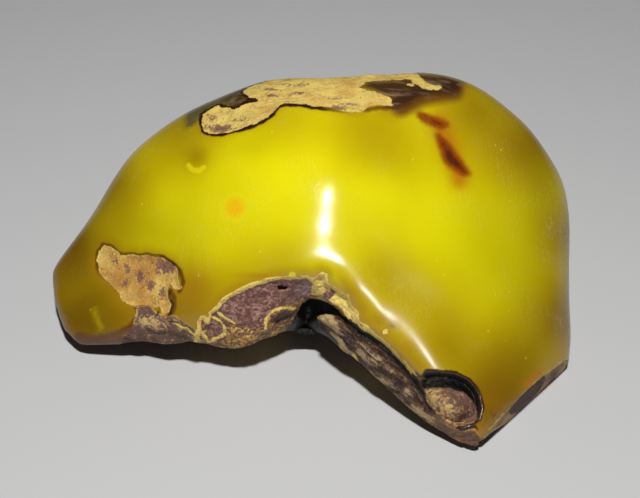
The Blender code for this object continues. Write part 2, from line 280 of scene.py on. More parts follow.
# Middle, half width, half height and share of the painted shade that darkens the amber toward its edges,
# in pixels
PAINTED_SHADE_SPOTS_PX = (
    (455, 235, 60, 48, 0.17), (512, 262, 48, 70, 0.17), (545, 192, 22, 40, 0.22),
    (505, 405, 26, 26, 0.3), (68, 250, 22, 28, 0.32), (85, 325, 22, 20, 0.25),
    (135, 232, 40, 24, 0.2), (250, 148, 22, 12, 0.12),
)
HAZE_PX = ((350, 284), (363, 295), (382, 309), (397, 319), (407, 329), (417, 341), (433, 367))
HONEY_SPOTS_PX = (
    (190, 292, 24, 26), (378, 322, 26, 14), (404, 352, 20, 16), (58, 250, 14, 18),
    (502, 405, 22, 16), (262, 277, 26, 4),
)
MOUND_MIDDLE = (19.0, -22.9)
WORN_EDGE_PX = ((556, 225), (563, 270), (562, 318))

# Depths and widths, in millimetres
FACE_DEPTH = 1.0
CLEFT_WIDTH = 0.85
CLEFT_DEPTH = 2.2
MOUTH_DEPTH = 6.0
HOLE_DEPTH = 1.6
SHINY_DEPTH = 0.7
SHADE_DEPTH = 4.5
PIT_DEPTH = 4.6
PIT_SHALLOW_END = (16.0, -24.0)
PIT_REACH = 7.0
MOUND_RISE = 2.6
CREASE_ENDS = ((22.9, -28.0, 9.9), (36.2, -15.3, -1.1))
CREASE_TILT = 0.45
RIND_BED = 0.35

# Rind of the far side: middle X, Y, Z and reach, in millimetres
FAR_RIND = (
    (-4, 26, 27, 9.0), (13, 27, 26, 8.0), (-22, 22, 13, 7.0), (14, 30, 9, 7.5), (33, 15, 6, 6.0),
    (-31, 10, 5, 5.0),
)
FAR_RIND_SQUASH = (0.8, 1.0, 1.5)
FAR_RIND_WANDER = 3.6

# Each traced outline, and how far past the edge of the near side it may reach
OUTLINES = {
    "top": (TOP_RIND_PX, 5.0), "left": (LEFT_RIND_PX, 0.0), "rough": (LEFT_ROUGH_PX, 0.0),
    "face": (FACE_RIND_PX, 3.0), "bark": (FACE_BARK_PX, 0.0), "chip": (FACE_CHIP_PX, 0.0),
    "hole": (FACE_HOLE_PX, 0.0), "shiny": (SHINY_PIT_PX, 0.0), "apex": (APEX_BARK_PX, 0.0),
    "mouth": (CLEFT_MOUTH_PX, 0.0), "lens": (DARK_LENS_PX, 0.0), "pit": (PIT_PX, 0.0),
    "mound": (PIT_MOUND_PX, 0.0), "crease_bark": (CREASE_BARK_PX, 0.0), "scorch": (TOP_SCORCH_PX, 3.0),
    "shade": (SHADE_PX, 4.0), "dark": (TOP_DARK_PX, 3.0), "streak": (STAIN_STREAK_PX, 0.0),
    "wedge": (STAIN_WEDGE_PX, 0.0),
}
# Middle in pixels and reach in millimetres of the small round spots
ROUND_SPOTS = {
    "honey_spot": (HONEY_SPOT_PX, 2.1), "lemon_dot": (LEMON_DOT_PX, 0.5), "pale_dot": (PALE_DOT_PX, 0.4),
}
# Age of each part of the rind: 0 is young and cream, 1 old and near black. The cleft's age is painted
# shade in the cleft, the notch's mouth and the pit; the underside's is partly painted shade, darkening
# the shadow under the lump; the side face's is kept paler partly as painted light where the key light
# barely reaches it
AGES = {
    "top": 0.12, "left": 0.32, "rough": 0.62, "face": 0.55, "ledge": 0.52, "tip": 0.62, "cleft": 0.95,
    "lens": 0.93, "mound": 0.66, "shiny": 0.9, "side": 0.4, "side_edge": 0.05, "far": 0.5, "under": 0.93,
    "spots": 0.1,
}
# What turns the amber beside it honey coloured: how far, and how strongly
HONEY_BORDERS = (
    ("face", 2.0, 0.7), ("left", 2.0, 0.7), ("scorch", 2.5, 0.8), ("rough", 3.0, 0.5), ("top", 1.2, 0.5),
    ("crease", 2.0, 0.6), ("far", 3.0, 0.5),
)
# Half widths of thin lines, in millimetres
CRESCENT_HALF_WIDTH = 0.35
CREVICE_HALF_WIDTH = 0.1
CRUMB_HALF_WIDTH = 0.17
RIM_HALF_WIDTH = 0.34
# Places across the lump, in millimetres
MOSS_END = -11.5
LEDGE_START = -0.6
RIM_END = 13.5
TIP_START = 15.0
# How steeply the distances of the near side fall where the surface turns from the eye
CAP_SLOPE = 8.0
# Signed distances that stand for far outside
HIDDEN = -5.0
NOWHERE = -20.0

# Turn and size of the noises that fine scratches and the ledge's filling are drawn from
WORN_SCRATCHES = ((0.0, 0.527, -1.408), (0.014, 0.0005, 0.0005))
FINE_SCRATCHES = ((0.0, -0.6, 0.74), (0.006, 0.00035, 0.00035))
LEDGE_FLOW = ((0.0, 0.231, -0.632), (0.003, 0.0007, 0.0007))

# Amber's refraction, how far red, green and blue wander in it, and its bumps
AMBER_IOR = 1.54
GLOW_RADII = (1.0, 0.6, 0.05)
BUMP_STRENGTH = 0.8
BUMP_DISTANCE = 0.00006
# Gap between the lump and the floor in metres, and the camera's sensor in millimetres
FLOOR_GAP = 0.0001
SENSOR_WIDTH = 36.0


def smooth_step(value):
    """Rise from 0 to 1 while value does: three squares less two cubes."""
    ramp = np.clip(value, 0.0, 1.0)
    return ramp * ramp * (3.0 - 2.0 * ramp)


def unit(vectors):
    """Scale each row to length one."""
    return vectors / np.maximum(np.linalg.norm(vectors, axis=1), 1e-12)[:, None]


def blend(start, end, share):
    """Straight mix from start to end."""
    return start + (end - start) * share


def eye_frame():
    """Return the eye's place and the directions across, up and toward the eye."""
    across = np.array([1.0, 0.0, 0.0])
    up = np.array([0.0, math.sin(EYE_RAISE), math.cos(EYE_RAISE)])
    toward = np.array([0.0, -math.cos(EYE_RAISE), math.sin(EYE_RAISE)])
    return EYE_TARGET + toward * EYE_DISTANCE, across, up, toward


def seen_point(seen):
    """Place a landmark given across, up and toward the eye: a point on its own sight line."""
    eye, across, up, _ = eye_frame()
    on_screen = EYE_TARGET + across * seen[0] + up * seen[1]
    return eye + (on_screen - eye) * (1.0 - seen[2] / EYE_DISTANCE)


def seen_plane(points):
    """Return where the eye sees points: across and up on the plane through its target."""
    eye, across, up, toward = eye_frame()
    ray = points - eye
    reach = EYE_DISTANCE / -(ray @ toward)
    return np.stack([(ray @ across) * reach, (ray @ up) * reach], axis=1)


def traced(outline):
    """Turn traced pixels into across and up, in millimetres on the plane through the target."""
    pixels = np.atleast_2d(np.array(outline, float))
    return (pixels - PHOTO_CENTRE) * (MM_PER_PIXEL, -MM_PER_PIXEL)


def lattice_noise(points, cell, seed):
    """Smooth noise from -1 to 1: hashed values at cube corners, blended by eased weights."""
    place = points / cell
    low = np.floor(place).astype(np.int64)
    part = smooth_step(place - low)
    total = np.zeros(len(points))
    for corner in itertools.product((0, 1), repeat=3):
        node = low + corner
        mixed = node[:, 0] * 73856093 ^ node[:, 1] * 19349663 ^ node[:, 2] * 83492791 ^ seed * 7919
        mixed = (mixed * 1103515245 + 12345) & 0x7FFFFFFF
        mixed = (mixed ^ mixed >> 13) * 1274126177 & 0x7FFFFFFF
        weight = np.prod(np.where(corner, part, 1.0 - part), axis=1)
        total += (mixed / 0x3FFFFFFF - 1.0) * weight
    return total


def layered_noise(points, cell, layers, seed):
    """Sum of lattice noises, each half as wide and half as strong as the last."""
    total = np.zeros(len(points))
    for layer in range(layers):
        total += lattice_noise(points, cell / 2 ** layer, seed + layer) / 2 ** layer
    return total


def distance_to_path(places, path):
    """Distance of each place to an open path of straight runs."""
    nearest = np.full(len(places), np.inf)
    for start, end in zip(path[:-1], path[1:]):
        run = end - start
        part = np.clip((places - start) @ run / (run @ run), 0.0, 1.0)
        nearest = np.minimum(nearest, np.linalg.norm(places - start - part[:, None] * run, axis=1))
    return nearest


def path_gap(places, path):
    """Distance of each place to a path traced in pixels."""
    return distance_to_path(places, traced(path))


def nearest_gap(places, paths):
    """Distance of each place to the nearest of several traced paths."""
    return np.min([path_gap(places, path) for path in paths], axis=0)


def depth_inside(places, outline):
    """Distance to a traced outline, above zero inside it and below zero outside."""
    closed = traced(outline + outline[:1])
    inside = np.zeros(len(places), bool)
    for (x0, y0), (x1, y1) in zip(closed[:-1], closed[1:]):
        if y0 == y1:
            continue
        crosses = (places[:, 1] > min(y0, y1)) & (places[:, 1] <= max(y0, y1))
        inside ^= crosses & (places[:, 0] < x0 + (places[:, 1] - y0) * (x1 - x0) / (y1 - y0))
    return np.where(inside, 1.0, -1.0) * distance_to_path(places, closed)


def beyond_crease(points):
    """Distance past the plane of the right lobe's side face, and that plane's normal."""
    _, across, up, toward = eye_frame()
    start, end = (seen_point(item) for item in CREASE_ENDS)
    run = (end - start) / np.linalg.norm(end - start)
    lean = toward - run * (toward @ run)
    outward = np.cross(run, lean)
    outward *= np.sign(outward @ across) / np.linalg.norm(outward)
    normal = outward * math.sqrt(1.0 - CREASE_TILT ** 2) + lean / np.linalg.norm(lean) * CREASE_TILT
    return (points - start) @ normal, normal


def spline(span):
    """Thin-plate kernel: the square of the span times its logarithm."""
    safe = np.maximum(span, 1e-9)
    return safe * safe * np.log(safe)


def fitted_radius(directions):
    """Radius from the heart in each direction: a thin-plate surface through the landmarks."""
    seen = CROWN + LEFT_FLANK + RIGHT_LOBE + BROKEN_RIM + UPPER_OUTLINE + LOWER_OUTLINE
    marks = np.array([seen_point(item) for item in seen] + list(FAR_SIDE + UNDERSIDE), float) - HEART
    radii = np.linalg.norm(marks, axis=1)
    marks = unit(marks)
    count = len(marks)
    flat = np.concatenate([np.ones((count, 1)), marks], axis=1)
    bend = spline(np.linalg.norm(marks[:, None] - marks[None], axis=-1)) + EASE * np.eye(count)
    system = np.block([[bend, flat], [flat.T, np.zeros((4, 4))]])
    weights = np.linalg.solve(system, np.concatenate([radii, np.zeros(4)]))
    radius = weights[count] + directions @ weights[count + 1:]
    for mark, weight in zip(marks, weights[:count]):
        radius += spline(np.linalg.norm(directions - mark, axis=1)) * weight
    return radius


def cube_net(steps):
    """Return directions and quads of a cube's grid, turned, stretched and leaned round the heart.

    A face's grid has two parameters from -1 to 1, each taken as the tangent of its share of 45
    degrees, and the faces share the points along their edges.
    """
    line = np.arange(steps + 1)
    first, second = np.meshgrid(line, line, indexing="ij")
    top = np.full_like(first, steps)
    low = np.zeros_like(first)
    faces = (
        (top, first, second), (low, second, first), (second, top, first),
        (first, low, second), (first, second, top), (second, first, low),
    )
    grid = np.array([np.stack(face, axis=-1).reshape(-1, 3) for face in faces]).reshape(-1, 3)
    spots, numbers = np.unique(grid, axis=0, return_inverse=True)
    numbers = numbers.reshape(len(faces), steps + 1, steps + 1)
    corners = (
        numbers[:, :-1, :-1], numbers[:, 1:, :-1], numbers[:, 1:, 1:], numbers[:, :-1, 1:],
    )
    quads = np.stack(corners, axis=-1).reshape(-1, 4)
    even = unit(np.tan((spots / steps * 2.0 - 1.0) * math.pi / 4.0))
    return unit(even * NET_STRETCH + NET_LEAN), quads


def point_normals(points, quads):
    """Normal of each point: the sum of the cross products of its quads' diagonals."""
    a, b, c, d = (points[quads[:, corner]] for corner in range(4))
    across = np.cross(c - a, d - b)
    total = np.zeros_like(points)
    for axis in range(3):
        for corner in range(4):
            total[:, axis] += np.bincount(quads[:, corner], across[:, axis], len(points))
    return unit(total)


def press_depth(places):
    """How far the near side is pressed in along the sight lines."""
    def press(outline, soft, depth, start=0.0):
        """Depth that grows from a traced outline inward."""
        return smooth_step(depth_inside(places, outline) / soft + start) * depth

    face = press(FACE_RIND_PX, 0.9, FACE_DEPTH)
    cleft = np.exp(-(path_gap(places, CLEFT_PX) / CLEFT_WIDTH) ** 2) * CLEFT_DEPTH
    mouth = press(CLEFT_MOUTH_PX, 1.0, MOUTH_DEPTH, 0.6)
    shade = press(SHADE_PX, 2.5, SHADE_DEPTH)
    reach = np.clip(np.linalg.norm(places - PIT_SHALLOW_END, axis=1) / PIT_REACH, 0.15, 1.0)
    pit = press(PIT_PX, 0.7, PIT_DEPTH * reach - press(PIT_MOUND_PX, 2.0, MOUND_RISE))
    hole = press(FACE_HOLE_PX, 0.4, HOLE_DEPTH, 0.3)
    shiny = press(SHINY_PIT_PX, 0.6, SHINY_DEPTH)
    left = press(LEFT_RIND_PX, 0.6, RIND_BED)
    top = press(TOP_RIND_PX, 0.6, RIND_BED)
    return np.maximum.reduce([face, cleft, mouth, shade, pit]) + hole + shiny + left + top


def dent_depth(points):
    """How far the far side is dented toward the heart: a bell round each dent's middle."""
    depth = np.zeros(len(points))
    for x, y, z, reach, deep in DENTS:
        depth += deep * np.exp(-(np.linalg.norm(points - (x, y, z), axis=1) / reach) ** 2)
    return depth


def near_fields(places, front):
    """Signed distances that the near side shows, on the plane of the photograph.

    front is above zero where a point faces the eye. Every distance is capped by it, so nothing
    that is traced on the near side shows through on the far one. An outline's slack is how far it
    may reach round the edge.
    """
    cap = front * CAP_SLOPE
    fields = {
        name: np.minimum(depth_inside(places, outline), cap + slack)
        for name, (outline, slack) in OUTLINES.items()
    }
    fields["cleft"] = np.minimum(1.0 - path_gap(places, CLEFT_PX), cap)
    fields["crescent"] = np.minimum(CRESCENT_HALF_WIDTH - path_gap(places, CRESCENT_PX), cap)
    for name, (spot, reach) in ROUND_SPOTS.items():
        fields[name] = np.minimum(reach - np.linalg.norm(places - traced(spot), axis=1), cap)
    return fields


def far_rind(points, normals, front):
    """Signed distance to the rind of the far side and the underside, with a wandering border."""
    wander = layered_noise(points, 9.0, 4, 31) * FAR_RIND_WANDER
    back = np.full(len(points), NOWHERE)
    for x, y, z, reach in FAR_RIND:
        apart = (points - (x, y, z)) * FAR_RIND_SQUASH
        back = np.maximum(back, reach - np.linalg.norm(apart, axis=1))
    under = (-normals[:, 2] - 0.45) * 9.0
    hidden = (0.12 - front) * 20.0
    return np.minimum(np.maximum(back, under) + wander, hidden)


def bells(places, spots, front):
    """Highest of several bells, each given by its middle, half width and half height in pixels."""
    field = np.zeros(len(places))
    for x, y, half_width, half_height in spots:
        apart = (places - traced((x, y))) / (half_width * MM_PER_PIXEL, half_height * MM_PER_PIXEL)
        field = np.maximum(field, np.exp(-(apart ** 2).sum(axis=1)))
    return field * smooth_step(front / 0.1)


def field_inputs(points, normals, places, front, crease):
    """Gather what the material's fields are worked out from.

    tip rises toward the end of the right lobe, strip marks the ledge beside the cleft, golden is
    the lower left part of the pit's mound, and side is the cut face of the right lobe.
    """
    near = near_fields(places, front)
    across = places[:, 0]
    far = far_rind(points, normals, front)
    tip = smooth_step((across - TIP_START) / 3.0)
    spots = [(x, y, reach, reach) for x, y, reach in PALE_SPOTS_PX]
    return SimpleNamespace(
        points=points, normals=normals, front=front, crease=crease, places=places, near=near, far=far,
        across=across, tip=tip, strip=smooth_step((across - LEDGE_START) / 1.2) * (1.0 - tip),
        on_far=smooth_step(far / 1.5 + 0.5), side=smooth_step(crease / 0.15),
        golden=smooth_step(0.6 - ((places - MOUND_MIDDLE) @ (0.75, 0.65)) / 3.5),
        mottle=layered_noise(points, 3.5, 3, 5), speck=layered_noise(points, 1.1, 2, 9),
        pale_spots=bells(places, spots, front), facing=smooth_step(front / 0.1))


def share(at, name, soft=0.4):
    """How much a point is inside a traced outline: 0 to 1 over a soft border."""
    return smooth_step(at.near[name] / soft + 0.5)


def age_field(at):
    """Age of the rind: 0 is young and cream, 1 old and near black. The gaps and the underside are aged
    near black partly as painted shade, and the cut face kept paler partly as painted light.
    """
    along = at.places @ STRIP_RUN
    offset = at.places @ (STRIP_RUN[1], -STRIP_RUN[0])
    flow = np.stack([along / 4.0, offset, 0.3 * at.mottle + 0.1 * along], axis=1)
    ledge = AGES["ledge"] + 0.75 * layered_noise(flow, 0.9, 2, 23)
    floor = blend(AGES["face"] + 0.25 * at.mottle, ledge, at.strip)
    floor = blend(floor, AGES["tip"] + 0.12 * at.mottle, at.tip)
    layers = (
        (AGES["left"] + 0.12 * at.mottle, share(at, "left", 1.0)),
        (AGES["rough"] + 0.3 * at.mottle + 0.25 * at.speck, share(at, "rough", 1.0)),
        (floor, share(at, "face", 0.6)),
        # Painted shade: the rind in the cleft, the notch's mouth and the pit aged near black
        (AGES["cleft"], np.maximum(share(at, "cleft", 0.8), share(at, "mouth"))),
        (AGES["cleft"], share(at, "pit", 0.3)),
        (AGES["lens"], share(at, "lens")),
        (AGES["mound"] - 0.34 * at.golden + 0.2 * at.speck, share(at, "mound", 0.3)),
        (AGES["shiny"], share(at, "shiny")),
        # Partly painted light: the right lobe's cut face kept paler where the key light barely reaches
        # it
        (AGES["side"] + 0.25 * at.mottle, at.side),
        (AGES["side_edge"], at.side * smooth_step((0.35 - at.crease) / 0.15)),
        (AGES["lens"], at.side * share(at, "crease_bark", 0.2)),
        (AGES["far"] + 0.35 * at.mottle + 0.15 * at.speck, at.on_far),
        # Partly painted shade: the underside aged near black, which darkens the shadow under the lump
        (AGES["under"], smooth_step((-at.normals[:, 2] - 0.3) / 0.3) * smooth_step(0.5 - at.front)),
        (AGES["spots"], 0.8 * at.pale_spots),
    )
    age = AGES["top"] + 0.13 * at.mottle
    for value, much in layers:
        age = blend(age, value, much)
    return np.clip(age, 0.0, 1.0)


def plum_field(at):
    """How much the rind is tinted plum."""
    plum = np.maximum.reduce([
        0.85 * bells(at.places, PLUM_BLOTCHES_PX, at.front),
        0.6 * bells(at.places, FAINT_BLOTCHES_PX, at.front),
        0.6 * (1.0 - at.golden) * share(at, "mound"), 0.35 * share(at, "rough", 1.0),
        0.35 * share(at, "face", 1.0) * (1.0 - np.maximum(at.strip, at.tip)), 0.25 * at.tip])
    plum *= 1.0 - 0.8 * at.pale_spots
    return np.clip(np.maximum(plum, at.on_far * smooth_step(at.mottle * 1.5 - 0.1)), 0.0, 1.0)


def gap_shade_field(at, bright_gap):
    """Signed distance to the painted shade of the notch, the cleft, the pit and the crevices, near black
    where these gaps lie in shadow.
    """
    near = at.near
    crevices = CREVICE_HALF_WIDTH - nearest_gap(at.places, CREVICE_SHADE_LINES_PX)
    crevices = np.where(at.front > 0.0, crevices, HIDDEN)
    pitch = np.maximum.reduce([
        near["mouth"], near["shade"], near["cleft"] - 0.75, near["hole"],
        np.minimum(near["pit"], -near["mound"] - 0.1), crevices])
    return np.minimum(pitch, bright_gap - 0.1)


def bright_field(at, bright_gap):
    """Signed distance to the bright crumbs: traced lines and patches, and the rim of the face. One
    traced line is a painted glint on the pit's rim.
    """
    patches = np.max([depth_inside(at.places, patch) for patch in BRIGHT_PATCHES_PX], axis=0)
    crumbs = np.maximum.reduce([CRUMB_HALF_WIDTH - bright_gap, patches, at.near["pale_dot"]])
    face = at.near["face"]
    rim = np.where(face > -0.5, RIM_HALF_WIDTH - np.abs(face - 0.15), HIDDEN)
    rim = np.minimum(rim, np.where(at.across < RIM_END, 5.0, HIDDEN))
    return np.maximum(np.where(at.front > 0.0, crumbs, HIDDEN), rim)


def step_shade_field(at):
    """Where painted shade lines the border of the rind's beds and of the pit, as a dark line at the step
    down.
    """
    near = at.near
    top = smooth_step((near["top"] + 1.5) / 0.5) * smooth_step((2.0 - at.across) / 6.0 + 0.6)
    left = smooth_step((near["left"] + 1.5) / 0.5) * smooth_step((at.places[:, 1] + 5.0) / 3.0)
    return np.maximum.reduce([top, 0.65 * left, smooth_step((near["pit"] + 1.5) / 0.5)])


def honey_field(at):
    """Where the amber turns honey coloured: round the rind, the cut face and a few spots."""
    face = smooth_step((at.near["face"] + 4.2) / 4.2) * smooth_step((at.across - 1.0) / 3.0)
    fields = [0.9 * face, 0.85 * bells(at.places, HONEY_SPOTS_PX, at.front)]
    distances = {**at.near, "crease": at.crease, "far": at.far}
    for name, reach, much in HONEY_BORDERS:
        fields.append(much * smooth_step((distances[name] + reach) / reach))
    return np.maximum.reduce(fields)


def cloud_field(at):
    """Small pale clouds and the green streak in the amber."""
    clouds = np.zeros(len(at.places))
    for spot in PALE_CLOUDS_PX:
        gap = np.linalg.norm(at.places - traced(spot), axis=1)
        clouds = np.maximum(clouds, 0.4 * np.exp(-(gap / 1.6) ** 2))
    streak = 0.35 * np.exp(-(path_gap(at.places, GREEN_STREAK_PX) / 0.35) ** 2)
    return np.maximum(clouds, streak) * at.facing


def band_fields(at):
    """Dark red bands and orange glows in the amber, and painted shade that darkens it toward its edges.
    """
    rust = np.zeros(len(at.places))
    for half_width, path in RUST_PATHS_PX:
        rust = np.maximum(rust, smooth_step(1.4 - path_gap(at.places, path) / half_width))
    ember = np.zeros(len(at.places))
    for reach, path in EMBERS_PX:
        ember = np.maximum(ember, np.exp(-(path_gap(at.places, path) / reach) ** 2))
    light = np.ones(len(at.places))
    for *spot, much in PAINTED_SHADE_SPOTS_PX:
        light *= 1.0 - much * bells(at.places, (spot,), at.front)
    return {"rust": rust * at.facing, "ember": ember * at.facing, "painted_shade": (1.0 - light) * at.facing}


def rind_fields(points, normals, places, front, crease):
    """Work out every field that the material paints from."""
    at = field_inputs(points, normals, places, front, crease)
    near, strip, tip = at.near, at.strip, at.tip
    bright_gap = nearest_gap(places, BRIGHT_LINES_AND_GLINT_PX)
    dark = share(at, "dark", 0.8)
    grit = share(at, "face", 0.8) * (1.0 - 0.75 * share(at, "bark"))
    grit = grit * (1.0 - 0.7 * tip) * (1.0 - 0.5 * strip)
    return {
        "rind": np.maximum.reduce([
            near["top"], near["left"], near["pale_dot"], near["rough"], near["face"], near["pit"],
            crease, at.far]),
        "age": age_field(at), "plum": plum_field(at), "pitch": gap_shade_field(at, bright_gap),
        "bright": bright_field(at, bright_gap), "step_shade": step_shade_field(at), "honey": honey_field(at),
        "clouds": cloud_field(at), "deep": deep_and_shade_field(places, points, front), **band_fields(at),
        "scorch": np.maximum(share(at, "scorch", 1.6), dark),
        "moss": dark * smooth_step((MOSS_END - at.across) / 4.0),
        "stain": np.maximum(near["streak"] + 0.2, near["wedge"] + 0.12),
        "lumps": at.pale_spots, "flow": strip * share(at, "face"),
        # The silt's share on the cut face is partly painted light, lifting the face where the key light
        # barely reaches it
        "silt": np.maximum.reduce([
            strip * share(at, "face"), 0.7 * share(at, "rough"), 0.7 * at.side,
            0.6 * share(at, "mound")]),
        "haze": at.facing * np.exp(-(path_gap(places, HAZE_PX) / 2.0) ** 2),
        "smear": bells(places, ((*PURPLE_DOT_PX, 4, 3),), front),
        "bark": np.maximum.reduce([near["bark"], near["chip"], near["apex"]]),
        "grit": np.maximum.reduce([grit, 0.8 * share(at, "rough", 0.8), 0.8 * share(at, "mound", 0.5)]),
        "ridges": bells(places, ((*RIDGES_PX, 9, 9),), front),
        "yolk": np.minimum(near["honey_spot"], 5.0),
        "worn": at.facing * np.exp(-(path_gap(places, WORN_EDGE_PX) / 1.8) ** 2),
        "lemon": np.maximum(near["lemon_dot"], near["crescent"]),
        "relief": 1.0 + 0.5 * share(at, "top") + 1.3 * share(at, "rough", 1.0)
        + 0.9 * share(at, "mound", 0.5) + 0.7 * smooth_step((near["face"] - 0.4) / 0.3) * (1.0 - tip)
        - 0.8 * at.side,
    }


# Where the amber's colour deepens, partly its own colour and partly painted shade toward the ends that
# turn from the light: across, up, reach in millimetres, and how much
DEEP_AND_SHADE_SPOTS = (
    (-38.0, 0.0, 7.0, 1.0), (-36.0, -12.0, 9.0, 0.95), (-29.0, -12.0, 8.0, 0.75), (-31.0, 9.0, 6.0, 0.7),
    (-21.0, 16.0, 5.0, 0.4), (-18.0, 20.0, 5.0, 0.5), (-20.0, -9.0, 6.0, 0.6), (-12.0, -7.0, 5.0, 0.35),
    (24.0, -24.0, 9.0, 1.0), (28.0, -17.0, 6.0, 0.6), (37.0, -10.0, 7.0, 0.9), (37.0, 2.0, 5.0, 0.7),
    (30.0, 15.0, 7.0, 0.75), (22.0, 20.0, 6.0, 0.6), (18.0, -14.0, 5.0, 0.45), (-18.0, 13.3, 1.6, 0.5),
    (6.0, 18.0, 6.0, 0.3), (-6.0, 19.0, 5.0, 0.25), (9.0, -4.0, 5.0, 0.35), (14.0, -8.0, 6.0, 0.3),
    (-5.0, -2.5, 5.0, 0.25), (10.0, 15.0, 5.0, 0.25),
)
BASE_DEEP = 0.16
# Where the amber clears to its milkiest, partly its own colour and partly painted light where the light
# falls most: across, up and reach in millimetres
MILKY_AND_LIT_SPOTS = ((-4.5, 8.0, 6.0), (7.5, 8.5, 4.5), (18.0, 2.0, 5.0))


def deep_and_shade_field(places, points, front):
    """How deep the amber's colour is, partly its own colour and partly painted shade: bells on the near
    side, darker toward the ends and clearer where the light falls most, slow clouds on the far one.
    """
    near = np.full(len(places), BASE_DEEP)
    for across, up, reach in MILKY_AND_LIT_SPOTS:
        near *= 1.0 - np.exp(-(np.linalg.norm(places - (across, up), axis=1) / reach) ** 2)
    for across, up, reach, much in DEEP_AND_SHADE_SPOTS:
        bell = np.exp(-(np.linalg.norm(places - (across, up), axis=1) / reach) ** 2)
        near = 1.0 - (1.0 - near) * (1.0 - much * bell)
    far = 0.45 + 0.35 * layered_noise(points, 14.0, 2, 17)
    return np.clip(blend(far, near, smooth_step(front / 0.5 + 0.5)), 0.0, 1.0)


def relief(points, fields):
    """How far the rind stands above its bed, in millimetres: crumbs, chips and worn lumps."""
    on_rind = smooth_step(fields["rind"] / 0.4)
    crumbs = layered_noise(points, 1.6, 3, 3) * 0.12
    lumps = layered_noise(points, 4.5, 2, 11) * 0.18
    hush = 1.0 - 0.7 * smooth_step(fields["pitch"] / 0.3 + 0.5)
    return on_rind * ((crumbs + lumps) * fields["relief"] * hush + 0.35 * fields["lumps"])


def own_surface(steps, rind_bed, seat_round):
    """Return points in the landmarks' millimetres, quads and fields of the whole lump.

    Points are the heart plus direction times fitted radius. The far side is dented toward the
    heart, the side face of the right lobe is cut by a plane, the near side is pressed along the
    sight lines, the rind's relief goes along the normals, and the underside is eased flat.
    """
    directions, quads = cube_net(steps)
    points = HEART + directions * fitted_radius(directions)[:, None]
    points -= directions * dent_depth(points)[:, None]
    crease, outward = beyond_crease(points)
    points -= np.maximum(crease, 0.0)[:, None] * outward
    normals = point_normals(points, quads)
    eye, _, _, toward = eye_frame()
    front = normals @ toward
    places = seen_plane(points)
    fields = rind_fields(points, normals, places, front, crease)
    gate = smooth_step((front - 0.05) / 0.35)
    points += unit(points - eye) * (press_depth(places) * gate)[:, None]
    normals = point_normals(points, quads)
    hidden_bed = smooth_step(fields["rind"] / 0.6) * rind_bed * (1.0 - gate)
    points += normals * (relief(points, fields) - hidden_bed)[:, None]
    rise = points[:, 2]
    eased = np.maximum(rise + seat_round, 0.0) ** 2 / (4.0 * seat_round)
    points[:, 2] = np.where(rise < seat_round, eased, rise)
    return points, quads, fields


def to_row(points, surface):
    """Carry points from the landmarks' frame to the row's, whose box the surface fills."""
    low = surface.min(axis=0)
    high = surface.max(axis=0)
    return (points - low) / (high - low) * (LUMP_BOX[1] - LUMP_BOX[0]) + LUMP_BOX[0]


def new_mesh_object(name, points, quads):
    """Make a smooth object of points and quads."""
    mesh = bpy.data.meshes.new(name)
    mesh.vertices.add(len(points))
    mesh.vertices.foreach_set("co", points.astype(np.float32).ravel())
    mesh.loops.add(quads.size)
    mesh.loops.foreach_set("vertex_index", quads.astype(np.int32).ravel())
    mesh.polygons.add(len(quads))
    mesh.polygons.foreach_set("loop_start", np.arange(0, quads.size, 4, dtype=np.int32))
    mesh.update(calc_edges=True)
    mesh.validate()
    mesh.shade_smooth()
    piece = bpy.data.objects.new(name, mesh)
    bpy.context.scene.collection.objects.link(piece)
    return piece


def store_fields(mesh, fields):
    """Keep each field on the mesh's points."""
    for name, values in fields.items():
        layer = mesh.attributes.new(name, "FLOAT", "POINT")
        layer.data.foreach_set("value", values.astype(np.float32))


class Nodes:
    """Short ways to add nodes to one tree and to join them."""

    def __init__(self, tree):
        self.tree = tree

    def add(self, kind, settings=None, **inputs):
        """Add a node; inputs are numbers, colours or the outputs of other nodes."""
        node = self.tree.nodes.new(kind)
        for name, value in (settings or {}).items():
            setattr(node, name, value)
        for name, value in inputs.items():
            self.put(node.inputs[name.replace("_", " ")], value)
        return node

    def put(self, socket, value):
        """Join an output to a socket, or set the socket's own value."""
        if isinstance(value, bpy.types.NodeSocket):
            self.tree.links.new(value, socket)
        else:
            socket.default_value = value

    def math(self, operation, first, second=0.0, clamp=False):
        """Return a Math node's output."""
        node = self.tree.nodes.new("ShaderNodeMath")
        node.operation = operation
        node.use_clamp = clamp
        self.put(node.inputs[0], first)
        self.put(node.inputs[1], second)
        return node.outputs[0]

    def plus(self, first, second, clamp=False):
        """Return the sum of two values."""
        return self.math("ADD", first, second, clamp)

    def minus(self, first, second):
        """Return the first value less the second."""
        return self.math("SUBTRACT", first, second)

    def times(self, first, second):
        """Return the product of two values."""
        return self.math("MULTIPLY", first, second)

    def ramp(self, value, low, high, start=0.0, end=1.0):
        """Return value mapped smoothly from low..high to start..end."""
        node = self.add("ShaderNodeMapRange", {"interpolation_type": "SMOOTHSTEP"})
        for number, item in enumerate((value, low, high, start, end)):
            self.put(node.inputs[number], item)
        return node.outputs[0]

    def mix(self, share, first, second, mode="MIX"):
        """Return two colours mixed."""
        node = self.add("ShaderNodeMix", {"data_type": "RGBA", "blend_type": mode})
        self.put(node.inputs[0], share)
        self.put(node.inputs[6], first)
        self.put(node.inputs[7], second)
        return node.outputs[2]

    def field(self, name):
        """Return one of the piece's stored fields."""
        return self.add("ShaderNodeAttribute", {"attribute_name": name}).outputs["Fac"]

    def noise(self, place, scale, detail=3.0, roughness=0.55):
        """Return a noise from 0 to 1 at so many features in a metre."""
        given = {"Vector": place, "Scale": scale, "Detail": detail, "Roughness": roughness}
        return self.add("ShaderNodeTexNoise", **given).outputs[0]


